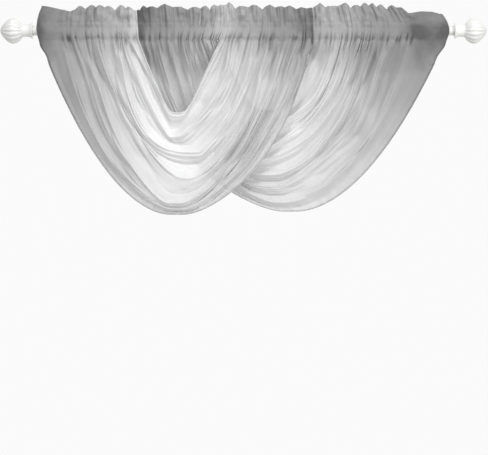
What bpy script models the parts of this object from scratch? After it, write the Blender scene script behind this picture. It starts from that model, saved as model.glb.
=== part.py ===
"""Waterfall valance: two sheer swags with gathered rod pockets, threaded in turn on a round rod
that ends in fluted finials.

Frame: metres, +Z up, -Y towards the room. The origin is on the rod's axis, half way along it.
"""

import math
from collections import namedtuple

import bmesh
import bpy
import numpy as np

# Rod and finials
ROD_RADIUS = 0.0127
ROD_SIDES = 32
ROD_END = 0.592
SOCKET_MOUTH = 0.5800
RUNNING_GAP = 0.0004
FINIAL_FLUTES = 16
STEPS_PER_FLUTE = 2
FLUTE_DEPTH = 0.0026

# Cloth and the sewing of the heading
CLOTH_THICKNESS = 0.0012
LAYER_GAP = 0.0032
LOWER_SEAM = -0.0270
UPPER_SEAM = 0.0215
HEADING_TOP = 0.0640
POCKET_RADIUS = ROD_RADIUS + CLOTH_THICKNESS / 2 + 0.0014
POCKET_ANGLES = (48, 84, 120)
POCKET_PUCKER = 0.0022
FOLD_OVER = 0.0030

# How the cloth falls below the lower seam
COLUMNS_PER_FOLD = 6
SWAG_STEPS = 22
STEP_SHIFT = 0.35
CURVE_SAMPLES = 240
STEEP_POWER = 6.5
ROUND_BOTTOM = 0.12
FALL_LENGTH = 0.085
FOLD_SWELL = 0.20
FOLD_DEPTH_MOST = 0.0125
DROOP_SHARE = 0.26
SEAM_SWELL = 0.35

# One row for each turned ring of a finial, from its tip to its rim: its place along the rod, its
# radius, and how much of the flutes' depth is cut there.
Turning = namedtuple("Turning", "x radius fluted")

FINIAL_PROFILE = (
    Turning(0.6690, 0.0000, 0.0),
    Turning(0.6680, 0.0050, 0.3),
    Turning(0.6650, 0.0115, 0.7),
    Turning(0.6605, 0.0172, 0.9),
    Turning(0.6540, 0.0245, 1.0),
    Turning(0.6460, 0.0312, 1.0),
    Turning(0.6350, 0.0357, 1.0),
    Turning(0.6240, 0.0335, 1.0),
    Turning(0.6160, 0.0280, 1.0),
    Turning(0.6110, 0.0222, 0.8),
    Turning(0.6085, 0.0185, 0.3),
    Turning(0.6060, 0.0172, 0.0),
    Turning(0.5940, 0.0166, 0.0),
    Turning(0.5860, 0.0186, 0.0),
    Turning(0.5820, 0.0218, 0.0),
    Turning(0.5800, 0.0223, 0.0),
)

# One row for each crest line, from the inner edge of the swag out to its hem: where it leaves the
# two pockets, its lowest point, and the shape of each side. A power of 1 falls as a straight V and
# 2 as a parabola, and steep is the part of the fall that comes close to the pocket.
Fold = namedtuple(
    "Fold", "left_x right_x low_x low_z left_power left_steep right_power right_steep"
)
# One row for each ruffle of the heading along a pocket, from its inner end out: where it stands,
# its top, the dip that follows it, and how far it swells forward.
Ruffle = namedtuple("Ruffle", "x top dip swell")
# The end of a rod pocket, at the height of the lower seam, of the rod and of the heading's top.
PocketEnd = namedtuple("PocketEnd", "seam_x rod_x top_x")
# A pocket from its inner to its outer end.
Pocket = namedtuple("Pocket", "inner outer ruffles")
Panel = namedtuple("Panel", "name left right folds belly colour")

FRONT_PANEL = Panel(
    name="front_swag",
    left=Pocket(
        inner=PocketEnd(-0.283, -0.289, -0.294),
        outer=PocketEnd(-0.561, -0.567, -0.555),
        ruffles=(
            Ruffle(-0.294, 0.055, 0.000, 0.001),
            Ruffle(-0.312, 0.065, 0.004, 0.004),
            Ruffle(-0.336, 0.070, 0.014, 0.005),
            Ruffle(-0.372, 0.067, 0.003, 0.004),
            Ruffle(-0.398, 0.070, 0.006, 0.005),
            Ruffle(-0.420, 0.070, 0.009, 0.005),
            Ruffle(-0.459, 0.068, 0.002, 0.004),
            Ruffle(-0.480, 0.053, 0.000, 0.001),
            Ruffle(-0.555, 0.068, 0.000, 0.000),
        ),
    ),
    right=Pocket(
        inner=PocketEnd(-0.062, -0.053, -0.049),
        outer=PocketEnd(0.190, 0.190, 0.187),
        ruffles=(
            Ruffle(-0.049, 0.070, 0.000, 0.000),
            Ruffle(-0.040, 0.078, 0.012, 0.004),
            Ruffle(-0.004, 0.067, 0.004, 0.005),
            Ruffle(0.030, 0.071, 0.012, 0.004),
            Ruffle(0.075, 0.070, 0.005, 0.005),
            Ruffle(0.104, 0.067, 0.004, 0.003),
            Ruffle(0.127, 0.068, 0.005, 0.005),
            Ruffle(0.165, 0.063, 0.001, 0.004),
            Ruffle(0.187, 0.063, 0.000, 0.001),
        ),
    ),
    folds=(
        Fold(-0.283, -0.062, -0.184, -0.227, 1.3, 0.0, 1.1, 0.1),
        Fold(-0.323, -0.021, -0.194, -0.293, 1.1, 0.1, 1.5, 0.3),
        Fold(-0.345, 0.029, -0.132, -0.335, 2.6, 0.5, 1.2, 0.4),
        Fold(-0.400, 0.073, -0.155, -0.406, 1.5, 0.2, 1.4, 0.4),
        Fold(-0.436, 0.111, -0.192, -0.475, 1.7, 0.1, 1.7, 0.2),
        Fold(-0.499, 0.150, -0.178, -0.492, 1.8, 0.2, 1.6, 0.2),
        Fold(-0.561, 0.190, -0.183, -0.506, 2.0, 0.0, 1.8, 0.3),
    ),
    belly=-0.028,
    colour=(0.72, 0.72, 0.72, 1.0),
)

BACK_PANEL = Panel(
    name="back_swag",
    left=Pocket(
        inner=PocketEnd(-0.064, -0.055, -0.051),
        outer=PocketEnd(-0.281, -0.287, -0.292),
        ruffles=(
            Ruffle(-0.051, 0.070, 0.000, 0.001),
            Ruffle(-0.060, 0.071, 0.002, 0.004),
            Ruffle(-0.082, 0.070, 0.012, 0.005),
            Ruffle(-0.104, 0.068, 0.005, 0.004),
            Ruffle(-0.133, 0.065, 0.008, 0.005),
            Ruffle(-0.172, 0.065, 0.004, 0.004),
            Ruffle(-0.215, 0.073, 0.006, 0.005),
            Ruffle(-0.254, 0.066, 0.004, 0.004),
            Ruffle(-0.273, 0.068, 0.006, 0.004),
            Ruffle(-0.292, 0.055, 0.000, 0.001),
        ),
    ),
    right=Pocket(
        inner=PocketEnd(0.192, 0.192, 0.189),
        outer=PocketEnd(0.557, 0.564, 0.543),
        ruffles=(
            Ruffle(0.189, 0.060, 0.000, 0.001),
            Ruffle(0.213, 0.076, 0.006, 0.004),
            Ruffle(0.246, 0.067, 0.003, 0.005),
            Ruffle(0.290, 0.076, 0.010, 0.004),
            Ruffle(0.323, 0.071, 0.006, 0.005),
            Ruffle(0.348, 0.076, 0.005, 0.004),
            Ruffle(0.370, 0.074, 0.006, 0.005),
            Ruffle(0.395, 0.071, 0.012, 0.004),
            Ruffle(0.428, 0.070, 0.003, 0.005),
            Ruffle(0.462, 0.048, 0.000, 0.001),
            Ruffle(0.513, 0.055, 0.000, 0.000),
            Ruffle(0.543, 0.053, 0.000, 0.000),
        ),
    ),
    folds=(
        Fold(-0.064, 0.192, 0.067, -0.218, 1.8, 0.0, 1.9, 0.1),
        Fold(-0.092, 0.246, 0.062, -0.265, 1.9, 0.0, 1.4, 0.5),
        Fold(-0.120, 0.282, 0.034, -0.328, 1.7, 0.0, 1.4, 0.4),
        Fold(-0.142, 0.312, 0.012, -0.358, 1.7, 0.1, 1.7, 0.5),
        Fold(-0.164, 0.348, 0.062, -0.397, 2.1, 0.3, 1.9, 0.3),
        Fold(-0.197, 0.386, 0.067, -0.427, 2.0, 0.3, 1.4, 0.4),
        Fold(-0.235, 0.452, 0.103, -0.468, 1.6, 0.4, 1.7, 0.3),
        Fold(-0.281, 0.557, 0.128, -0.497, 1.6, 0.45, 2.0, 0.0),
    ),
    belly=0.014,
    colour=(0.60, 0.60, 0.60, 1.0),
)


def clear_scene():
    for obj in list(bpy.data.objects):
        bpy.data.objects.remove(obj)


def finish_material(name, colour, roughness):
    material = bpy.data.materials.new(name)
    material.use_nodes = True
    shader = material.node_tree.nodes["Principled BSDF"]
    shader.inputs["Base Color"].default_value = colour
    shader.inputs["Roughness"].default_value = roughness
    shader.inputs["Metallic"].default_value = 0.0
    return material


def eased_out(value):
    """Rises from 0 to 1, quickly at first, and then stays there."""
    value = np.clip(value, 0.0, 1.0)
    return value * (2 - value)


def through_rows(values, at):
    """A smooth curve through equally spaced values, read at the positions in at."""
    values = np.concatenate(
        [[2 * values[0] - values[1]], values, [2 * values[-1] - values[-2]]]
    )
    start = np.clip(np.floor(at).astype(int), 0, len(values) - 4)
    part = at - start
    before, first, second, after = (values[start + step] for step in range(4))
    return first + 0.5 * part * (
        second - before
        + part * (2 * before - 5 * first + 4 * second - after
                  + part * (3 * (first - second) + after - before))
    )


def end_x(end, height):
    """Where the edge of a pocket is at a height: a parabola through its three given points."""
    above_seam = height - LOWER_SEAM
    below_top = HEADING_TOP - height
    whole = HEADING_TOP - LOWER_SEAM
    at_seam = height * below_top / (LOWER_SEAM * whole)
    at_rod = above_seam * below_top / (-LOWER_SEAM * HEADING_TOP)
    at_top = height * above_seam / (HEADING_TOP * whole)
    return end.seam_x * at_seam + end.rod_x * at_rod + end.top_x * at_top


def pocket_x(pocket, seam_x, height):
    """Where cloth that leaves the lower seam at seam_x is along the rod at another height."""
    part = (seam_x - pocket.inner.seam_x) / (pocket.outer.seam_x - pocket.inner.seam_x)
    return end_x(pocket.inner, height) * (1 - part) + end_x(pocket.outer, height) * part


def ruffle_shape(pocket, x):
    """The heading's top edge and its swell forward, at places along the rod."""
    rows = sorted(pocket.ruffles, key=lambda row: row.x)
    inner_first = pocket.outer.rod_x > pocket.inner.rod_x
    places = np.array([row.x for row in rows])
    index = np.clip(np.searchsorted(places, x) - 1, 0, len(rows) - 2)
    part = np.clip((x - places[index]) / (places[index + 1] - places[index]), 0, 1)
    tops = np.array([row.top for row in rows])
    swells = np.array([row.swell for row in rows])
    dips = np.array([row.dip for row in rows])
    dip = dips[index if inner_first else index + 1]
    valley = 2 * np.minimum(part, 1 - part)
    top = tops[index] * (1 - part) + tops[index + 1] * part - dip * valley**2
    swell = swells[index] * (1 - part) + swells[index + 1] * part
    return top, swell * np.cos(2 * np.pi * part)


def pocket_rows(pocket, seam_x, gather):
    """The heading and rod pocket of one side, as rows of points from the hem behind the rod, over
    the top of the heading, and down to the lower seam in front."""
    top, swell = ruffle_shape(pocket, pocket_x(pocket, seam_x, UPPER_SEAM))
    half_gap = LAYER_GAP / 2
    pucker = POCKET_PUCKER * (1 + gather) / 2
    section = []
    for side in (1, -1):
        rows = [(LOWER_SEAM, side * half_gap - 0.5 * pucker)]
        for angle in reversed(POCKET_ANGLES):
            turn = math.radians(angle)
            reach = POCKET_RADIUS + pucker * math.sin(turn)
            rows.append((POCKET_RADIUS * math.cos(turn), side * reach * math.sin(turn)))
        rows.append((UPPER_SEAM, side * half_gap - 0.5 * pucker))
        rows.append((top - FOLD_OVER, side * half_gap * 0.9 - swell))
        section.append(rows)
    behind, front = section
    folded = behind + [(top, -swell)] + front[::-1]
    points = np.empty((len(folded), len(seam_x), 3))
    for number, (height, depth) in enumerate(folded):
        height = np.broadcast_to(height, seam_x.shape)
        points[number, :, 0] = pocket_x(pocket, seam_x, np.minimum(height, HEADING_TOP))
        points[number, :, 1] = depth
        points[number, :, 2] = height
    return points


def fall(across, power, steep):
    """Height above the lowest point, as a part of the whole drop, at a part of the half width."""
    rounded = np.sqrt(across**2 + ROUND_BOTTOM**2)
    gentle = (rounded**power - ROUND_BOTTOM**power) / (
        (1 + ROUND_BOTTOM**2) ** (power / 2) - ROUND_BOTTOM**power
    )
    return (1 - steep) * gentle + steep * across**STEEP_POWER


def fold_row(panel, places):
    """The columns of the fold table, read smoothly at places between its rows."""
    return Fold(*(through_rows(np.array(column), places) for column in zip(*panel.folds)))


def crest_curve(fold, steps):
    """The hanging line of one fold row, as evenly spaced x and z, and how far each point lies
    from the nearer end."""
    across = np.linspace(1, 0, CURVE_SAMPLES)
    left = fold.low_x + (fold.left_x - fold.low_x) * across
    right = fold.low_x + (fold.right_x - fold.low_x) * across
    left_rise = fall(across, fold.left_power, fold.left_steep)
    right_rise = fall(across, fold.right_power, fold.right_steep)
    drop = LOWER_SEAM - fold.low_z
    line = np.array(
        [
            np.concatenate([left, right[::-1][1:]]),
            fold.low_z + drop * np.concatenate([left_rise, right_rise[::-1][1:]]),
        ]
    )
    walked = np.concatenate([[0], np.cumsum(np.hypot(*np.diff(line, axis=1)))])
    at = walked[-1] * steps
    x, z = (np.interp(at, walked, axis) for axis in line)
    return x, z, np.minimum(at, walked[-1] - at)


def swag_points(panel, places, steps):
    """Points of the hanging cloth: a row for each step from the left pocket to the right one."""
    rows = zip(*fold_row(panel, places))
    lines = np.array([crest_curve(Fold(*row), steps) for row in rows])
    flat = lines[:, :2].transpose(2, 0, 1)
    from_seam = lines[:, 2].T
    across = np.gradient(flat, places, axis=1)
    spacing = np.linalg.norm(across, axis=2)
    outward = across / np.maximum(spacing, 1e-9)[..., None]
    crest = np.cos(2 * np.pi * places)[None, :]
    settled = eased_out(from_seam / FALL_LENGTH)
    depth = np.minimum(FOLD_SWELL * spacing, FOLD_DEPTH_MOST)
    depth *= SEAM_SWELL + (1 - SEAM_SWELL) * settled
    droop = DROOP_SHARE * spacing * (1 - crest) / 2 * np.maximum(0, -outward[..., 1]) * settled
    points = np.empty((len(steps), len(places), 3))
    points[..., 0] = flat[..., 0] - droop * outward[..., 0]
    points[..., 1] = -LAYER_GAP / 2 + panel.belly * settled - depth * crest * settled
    points[..., 2] = flat[..., 1] - droop * outward[..., 1]
    return points


def cloth_panel(panel, collection):
    """One swag: a single sheet, folded over at both ends into a heading and a rod pocket."""
    last = len(panel.folds) - 1
    places = np.linspace(0, last, COLUMNS_PER_FOLD * last + 1)
    seams = fold_row(panel, places)
    gather = np.cos(2 * np.pi * places)
    steps = np.linspace(0, 1, SWAG_STEPS + 1)
    steps -= STEP_SHIFT * np.sin(4 * np.pi * steps) / (4 * np.pi)
    left = pocket_rows(panel.left, seams.left_x, gather)
    right = pocket_rows(panel.right, seams.right_x, gather)
    hanging = swag_points(panel, places, steps)[1:-1]
    rows = np.concatenate([left, hanging, right[::-1]])

    sheet = bmesh.new()
    bmesh.ops.create_grid(
        sheet, x_segments=rows.shape[1] - 1, y_segments=rows.shape[0] - 1, size=1
    )
    sheet.verts.ensure_lookup_table()
    for vert, point in zip(sheet.verts, rows.reshape(-1, 3)):
        vert.co = point
    bmesh.ops.recalc_face_normals(sheet, faces=sheet.faces)
    mesh = bpy.data.meshes.new(panel.name)
    sheet.to_mesh(mesh)
    sheet.free()
    mesh.shade_smooth()
    mesh.materials.append(finish_material(panel.name, panel.colour, 0.85))
    obj = bpy.data.objects.new(panel.name, mesh)
    collection.objects.link(obj)
    thickness = obj.modifiers.new("cloth thickness", "SOLIDIFY")
    thickness.thickness = CLOTH_THICKNESS
    thickness.offset = 0
    return obj


def rod(collection, material):
    bpy.ops.mesh.primitive_cylinder_add(
        vertices=ROD_SIDES, radius=ROD_RADIUS, depth=2 * ROD_END, rotation=(0, math.pi / 2, 0)
    )
    obj = bpy.context.object
    obj.name = "rod"
    obj.data.name = "rod"
    obj.data.materials.append(material)
    for other in list(obj.users_collection):
        other.objects.unlink(obj)
    collection.objects.link(obj)
    return obj


def finial(side, collection, material):
    """A fluted ball on a turned neck, with a blind socket that takes the rod's end."""
    name = "finial_left" if side < 0 else "finial_right"
    socket_radius = ROD_RADIUS + RUNNING_GAP
    socket_floor = ROD_END + RUNNING_GAP
    rings = FINIAL_PROFILE + (
        Turning(SOCKET_MOUTH, socket_radius, 0.0),
        Turning(socket_floor, socket_radius, 0.0),
        Turning(socket_floor, 0.0, 0.0),
    )
    turns = FINIAL_FLUTES * STEPS_PER_FLUTE
    ball = bmesh.new()
    loops = []
    for ring in rings:
        loop = []
        for turn in range(turns if ring.radius else 1):
            angle = 2 * math.pi * turn / turns
            groove = FLUTE_DEPTH * ring.fluted * (1 - math.cos(FINIAL_FLUTES * angle)) / 2
            radius = ring.radius - groove
            loop.append(
                ball.verts.new((side * ring.x, radius * math.sin(angle), radius * math.cos(angle)))
            )
        loops.append(loop)
    for near, far in zip(loops, loops[1:]):
        for turn in range(turns):
            corners = [
                near[turn % len(near)], near[(turn + 1) % len(near)],
                far[(turn + 1) % len(far)], far[turn % len(far)],
            ]
            ball.faces.new(list(dict.fromkeys(corners)))
    bmesh.ops.recalc_face_normals(ball, faces=ball.faces)
    mesh = bpy.data.meshes.new(name)
    ball.to_mesh(mesh)
    ball.free()
    mesh.materials.append(material)
    obj = bpy.data.objects.new(name, mesh)
    collection.objects.link(obj)
    return obj


def main():
    clear_scene()
    collection = bpy.data.collections.new("waterfall_valance")
    bpy.context.scene.collection.children.link(collection)
    white = (0.90, 0.90, 0.88, 1.0)
    rod(collection, finish_material("rod_enamel", white, 0.30))
    for side in (-1, 1):
        finial(side, collection, finish_material("finial_enamel", white, 0.35))
    for panel in (FRONT_PANEL, BACK_PANEL):
        cloth_panel(panel, collection)


main()
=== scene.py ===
"""Waterfall valance: two sheer swags with gathered rod pockets, threaded in turn on a round rod
that ends in fluted finials. Metres, +Z up, -Y towards the room, origin on the rod's axis."""

import math
from collections import namedtuple

import bmesh
import bpy
import numpy as np
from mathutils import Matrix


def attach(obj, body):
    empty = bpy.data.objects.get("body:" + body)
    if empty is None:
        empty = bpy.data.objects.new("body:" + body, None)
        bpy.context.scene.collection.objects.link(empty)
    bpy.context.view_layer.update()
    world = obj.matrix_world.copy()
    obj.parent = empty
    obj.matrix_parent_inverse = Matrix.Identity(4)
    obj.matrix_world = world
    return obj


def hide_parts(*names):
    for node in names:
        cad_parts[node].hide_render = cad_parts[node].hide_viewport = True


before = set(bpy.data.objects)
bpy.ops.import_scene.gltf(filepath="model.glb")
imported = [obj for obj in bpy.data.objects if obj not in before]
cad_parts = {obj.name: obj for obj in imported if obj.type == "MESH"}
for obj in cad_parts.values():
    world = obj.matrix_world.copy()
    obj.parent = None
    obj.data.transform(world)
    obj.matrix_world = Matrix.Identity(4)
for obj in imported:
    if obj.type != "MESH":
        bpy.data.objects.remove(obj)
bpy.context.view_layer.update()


# ---- Curtain rod ---------------------------------------------------------------------------
# A drawn steel tube, 25.4 mm across, closed at its cut ends and sprayed with white enamel. It
# carries both swags, and each end sits in a finial's socket.

ROD_RADIUS = 0.0127
ROD_END = 0.592
ROD_EASED = 0.0008
ROD_SIDES = 64
ROD_RINGS = 24
ENAMEL_WHITE = (0.63, 0.628, 0.615, 1.0)
ENAMEL_DUST_AND_SHADE = (0.47, 0.465, 0.45, 1.0)
ENAMEL_ROUGHNESS = (0.24, 0.42)
DRAWN_STREAKS = (0.15, 1.0, 1.0)


def placed(name, data):
    """A new object in the scene, at the origin."""
    obj = bpy.data.objects.new(name, data)
    bpy.context.scene.collection.objects.link(obj)
    return obj


def turned(name, rings, turns, side=1):
    """A closed shell turned about the rod's axis, from rings of x, radius and cuts at each turn."""
    shell = bmesh.new()
    loops = []
    for x, radius, cut in rings:
        loop = []
        for turn in range(turns if radius else 1):
            angle = 2 * math.pi * turn / turns
            reach = radius - (cut[turn] if radius else 0)
            point = (side * x, reach * math.sin(angle), reach * math.cos(angle))
            loop.append(shell.verts.new(point))
        loops.append(loop)
    for near, far in zip(loops, loops[1:]):
        for turn in range(turns):
            corners = [
                near[turn % len(near)], near[(turn + 1) % len(near)],
                far[(turn + 1) % len(far)], far[turn % len(far)],
            ]
            shell.faces.new(list(dict.fromkeys(corners)))
    bmesh.ops.recalc_face_normals(shell, faces=shell.faces)
    mesh = bpy.data.meshes.new(name)
    shell.to_mesh(mesh)
    shell.free()
    mesh.shade_smooth()
    return placed(name, mesh)


def new_node(tree, kind, **inputs):
    """A shader node with some of its sockets set, or linked from other nodes, by name."""
    node = tree.nodes.new(kind)
    for socket, value in inputs.items():
        socket = node.inputs[socket.replace("_", " ")]
        if isinstance(value, bpy.types.NodeSocket):
            tree.links.new(value, socket)
        else:
            socket.default_value = value
    return node


def combined(tree, operation, first, second):
    """The result of a maths node on two sockets."""
    node = tree.nodes.new("ShaderNodeMath")
    node.operation = operation
    tree.links.new(first, node.inputs[0])
    tree.links.new(second, node.inputs[1])
    return node.outputs["Value"]


def new_material(name):
    """A material with nodes, its tree and its main shader."""
    material = bpy.data.materials.new(name)
    material.use_nodes = True
    return material, material.node_tree, material.node_tree.nodes["Principled BSDF"]


def enamel(name, streaks):
    """Sprayed enamel: a soft gloss with a fine orange peel, and a darker, dusty tone in its hollows
    that is partly painted shade.
    streaks says how closely its mottle changes along each axis."""
    material, tree, shader = new_material(name)
    link = tree.links.new
    shader.inputs["Coat Weight"].default_value = 0.25
    shader.inputs["Coat Roughness"].default_value = 0.18
    place = tree.nodes.new("ShaderNodeTexCoord").outputs["Object"]
    stretch = new_node(tree, "ShaderNodeMapping", Scale=streaks, Vector=place)
    mottle = new_node(
        tree, "ShaderNodeTexNoise", Scale=60.0, Detail=3.0, Vector=stretch.outputs["Vector"]
    )
    # Grooves between a finial's lobes get a darker, mottled enamel: a dusty tone that is partly
    # painted shade.
    dust_and_shade = tree.nodes.new("ShaderNodeAttribute")
    dust_and_shade.attribute_name = "groove"
    worn_and_shaded = combined(tree, "MULTIPLY", dust_and_shade.outputs["Fac"], mottle.outputs["Fac"])
    shade = tree.nodes.new("ShaderNodeMix")
    shade.data_type = "RGBA"
    shade.inputs["A"].default_value = ENAMEL_WHITE
    shade.inputs["B"].default_value = ENAMEL_DUST_AND_SHADE
    link(worn_and_shaded, shade.inputs["Factor"])
    link(shade.outputs["Result"], shader.inputs["Base Color"])
    smooth, dull = ENAMEL_ROUGHNESS
    gloss = new_node(
        tree, "ShaderNodeMapRange", To_Min=smooth, To_Max=dull, Value=mottle.outputs["Fac"]
    )
    link(gloss.outputs["Result"], shader.inputs["Roughness"])
    peel = new_node(tree, "ShaderNodeTexNoise", Scale=700.0, Detail=1.0, Vector=place)
    bump = new_node(
        tree, "ShaderNodeBump", Strength=0.18, Distance=0.0002, Height=peel.outputs["Fac"]
    )
    link(bump.outputs["Normal"], shader.inputs["Normal"])
    return material


no_cut = [0.0] * ROD_SIDES
straight = np.linspace(-(ROD_END - ROD_EASED), ROD_END - ROD_EASED, ROD_RINGS)
rod = turned(
    "curtain_rod",
    [(-ROD_END, 0.0, no_cut), (-ROD_END, ROD_RADIUS - ROD_EASED, no_cut)]
    + [(x, ROD_RADIUS, no_cut) for x in straight]
    + [(ROD_END, ROD_RADIUS - ROD_EASED, no_cut), (ROD_END, 0.0, no_cut)],
    ROD_SIDES,
)
rod.data.materials.append(enamel("rod enamel", DRAWN_STREAKS))
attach(rod, "root")
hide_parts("rod")


# ---- Back swag -----------------------------------------------------------------------------
# One trapezoid of polyester voile, dyed white in the middle and grey towards both slanted
# sides. Each slanted side is folded over and sewn twice, to make a heading and a rod pocket.
# It is gathered to half its width on the rod, and hangs in curved folds between its pockets.

# The mesh: columns from one crest to the next, and rows from pocket to pocket, which stand
# closer together by the pockets and at the lowest point.
COLUMNS_PER_FOLD = 36
SWAG_STEPS = 168
STEP_SHIFT = 0.35
CURVE_SAMPLES = 260
NOISE_KNOTS = 128

# The crest lines: how a steep side falls, how round the lowest point is, more so at the cowl,
# and the way from the pocket over which the cloth settles into its folds.
STEEP_POWER = 6.5
ROUND_BOTTOM = 0.09
COWL_ROUND = 0.13
COWL_REACH = 0.35
FALL_LENGTH = 0.085

# The main folds: their depth as a share of their spacing and at most, how uneven it is, where
# the valley lies on the way to the next crest, and the fine ridge and pinch that mark the two.
FOLD_SWELL = 0.20
FOLD_DEPTH_MOST = 0.0070
FOLD_UNEVEN = 0.35
FOLD_OVERHANG = 0.58
FOLD_WANDER = 0.004
CREST_RIDGE = 0.0022
CREST_WIDTH = 0.05
PINCH_DEPTH = 0.0005
PINCH_WIDTH = 0.07
DROOP_SHARE = 0.05
SEAM_SWELL = 0.35

# The creases between the main folds: how many to a fold, how far they run, and their height.
CREASES = ((1.7, 0.42, 0.0030), (3.1, 0.34, 0.0014), (5.2, 0.26, 0.0005))
COCKLES = 0.0014

# The gathers under the seam: how soon they open, and the height of the fine and the broad ones
# with the drop over which each fades. The seam ripples forward, and wavers up and down except
# at a pocket's inner edge.
GATHERS_OPEN = 0.030
FINE_GATHERS = (0.0115, 0.050)
BROAD_GATHERS = (0.0090, 0.19)
SEAM_RIPPLE = 0.0075
SEAM_WAVER = 0.0070
SEAM_WAVE_LENGTH = 0.009
SEAM_STEADY = 0.6

# The pocket and the heading: heights above the rod's axis, the radius of the pocket, and the
# degrees from the top between which it follows the rod.
LOWER_SEAM = -0.0270
UPPER_SEAM = 0.0215
HEADING_TOP = 0.0640
POCKET_RADIUS = 0.0147
POCKET_WRAP = (122, 47)
HEADING_PARTS = (0.05, 0.12, 0.20, 0.28, 0.36, 0.44, 0.52, 0.60, 0.68, 0.76, 0.84, 0.91, 0.97)
UPPER_SEAM_ROW = 14
# How the layers leave the rod, and puff between the seams, which hold them flat nearby.
SEAM_GAP = 0.0006
SEAM_FORWARD = 0.0148
FRONT_LEAVES_ROD = 0.006
FRONT_BEND = 1.5
FINE_PUFF = 0.0150
BROAD_PUFF = 0.0070
STITCH_HOLD = 0.008
# How the heading leans forward, opens, pleats and crumples, and how ragged the edges are.
HEADING_FORWARD = 0.0060
HEADING_LEANS = 0.009
HEADING_OPEN = 0.0016
HEADING_PLEATS = 0.0034
HEADING_RUMPLE = 0.0044
HEADING_CRUMPLE = 0.0032
TOP_RAGGED = 0.0013
TOP_TURN = 0.0008
SEAM_RAGGED = 0.0095

# The hem: the flare of its corners just below the pocket and the draw after it, the curl of its
# edge towards the wall, and its small ripples.
CORNER_FLAP = 0.0030
FLAP_OUT = (0.020, 0.013)
FLAP_BACK = (0.050, 0.018)
HEM_TUCK = 0.0100
HEM_TUCK_WIDTH = 0.62
HEM_RIPPLE = 0.0034
HEM_RIPPLE_WIDTH = 0.018
HEM_RIPPLE_LENGTH = 0.0075

# The drop over which the cloth swings away from the seam's plane into the swag's own, and the
# height of the flat cut from cowl to hem.
SWING_DROP = 0.10
FLAT_HEIGHT = 0.36

# What greys the cloth beside the dye: painted shade in the creases of the puckers along the lower
# seam, in the gathers below it and on the lower folds towards the hem, and blotches in the heading.
PUCKER_PAINTED_SHADE = 0.34
PUCKER_SHADE_HEIGHT = 0.011
GATHER_PAINTED_SHADE = 0.34
GATHER_SHADE_DROP = 0.034
HEM_PAINTED_SHADE = 0.11
BLOTCHES = 0.11

# A crest line, from the swag's inner edge out to its hem: where it leaves the two pockets, its
# lowest point, and how straight and how steep each side falls.
Fold = namedtuple(
    "Fold", "left_x right_x low_x low_z left_power left_steep right_power right_steep"
)
# A ruffle of the heading: where it stands, its top, the dip after it, and its swell forward.
Ruffle = namedtuple("Ruffle", "x top dip swell")
# The end of a pocket, at the height of the lower seam, of the rod and of the heading's top.
PocketEnd = namedtuple("PocketEnd", "seam_x rod_x top_x")
# A pocket from its inner to its outer end, and the fold from which it is left ungathered. Its dye:
# where it is full, how it deepens (a power), the drop over which it fades, how much the heading
# shows, and how strongly the painted shade under the gathers shows at the inner end.
Pocket = namedtuple(
    "Pocket", "inner outer flat_from dye_full dye_power dye_fade dye_top crowded ruffles"
)
Swag = namedtuple("Swag", "name left right folds belly white_x seed")

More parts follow.
